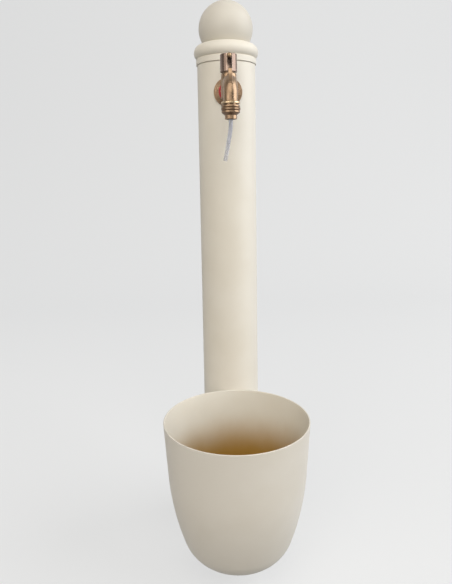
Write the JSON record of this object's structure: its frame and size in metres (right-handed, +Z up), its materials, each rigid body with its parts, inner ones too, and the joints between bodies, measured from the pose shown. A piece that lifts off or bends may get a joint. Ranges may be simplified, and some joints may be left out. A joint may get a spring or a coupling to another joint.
{
  "type": "column fountain with bowl",
  "caption": "Free-standing column fountain: round post with ball-topped cap, quarter-turn tap with bucket spur, and a deep round bowl with a waste outlet.",
  "frame": {"origin": "on the floor, on the post's axis, at the centre of the base plate's underside and of its anchor circle", "axes": "+Z up along the post; -Y to the front, where the tap and the bowl are; +X to the right seen from the front"},
  "size_m": [0.2478, 0.3922, 1.0158],
  "materials": {
    "cream_paint": "satin cream powder coat",
    "stainless_steel": "brushed",
    "galvanised_steel": "dull zinc",
    "raw_brass": "machined",
    "chromed_brass": "polished",
    "aged_bronze": "aged bronze with worn edges",
    "dark_bronze": "dark aged bronze with fine upright lines",
    "worn_bronze": "bright worn bronze",
    "red_fibre": "matt red fibre",
    "white_ptfe": "smooth",
    "black_rubber": "matt",
    "clear_plastic": "clear flexible tube"
  },
  "bodies": {
    "post": {"base_flange": "cream_paint", "post_tube": "cream_paint", "cap_collar": "cream_paint", "ball_finial": "cream_paint", "bowl": "cream_paint", "bowl_gusset_left": "cream_paint", "bowl_gusset_right": "cream_paint", "cap_set_screw": "stainless_steel", "drain_body": "stainless_steel", "drain_strainer": "stainless_steel", "strainer_screw": "stainless_steel", "drain_locknut": "raw_brass", "drain_gasket": "black_rubber", "drain_washer": "black_rubber", "riser_grommet": "black_rubber", "tap_boss": "galvanised_steel", "riser_elbow": "galvanised_steel", "riser_pipe": "galvanised_steel", "inlet_coupling": "galvanised_steel", "tap_rosette": "aged_bronze", "tap_washer": "red_fibre", "tap_inlet": "aged_bronze", "tap_body": "aged_bronze", "ball_seat_front": "white_ptfe", "ball_seat_rear": "white_ptfe", "stem_packing": "white_ptfe", "gland_nut": "raw_brass", "spout_ring": "worn_bronze", "spout_nozzle": "aged_bronze", "spout_gasket": "black_rubber", "tube_insert": "black_rubber", "outlet_tube": "clear_plastic"},
    "handle": {"handle_knob": "dark_bronze", "handle_pin": "worn_bronze", "handle_screw": "stainless_steel", "valve_stem": "raw_brass", "valve_ball": "chromed_brass"}
  },
  "joints": [
    {"name": "handle_turn", "type": "hinge", "parent": "post", "child": "handle", "pos_m": [0, -0.084, 0.8455], "axis": [0, 0, 1], "range_deg": [0, 90]}
  ]
}
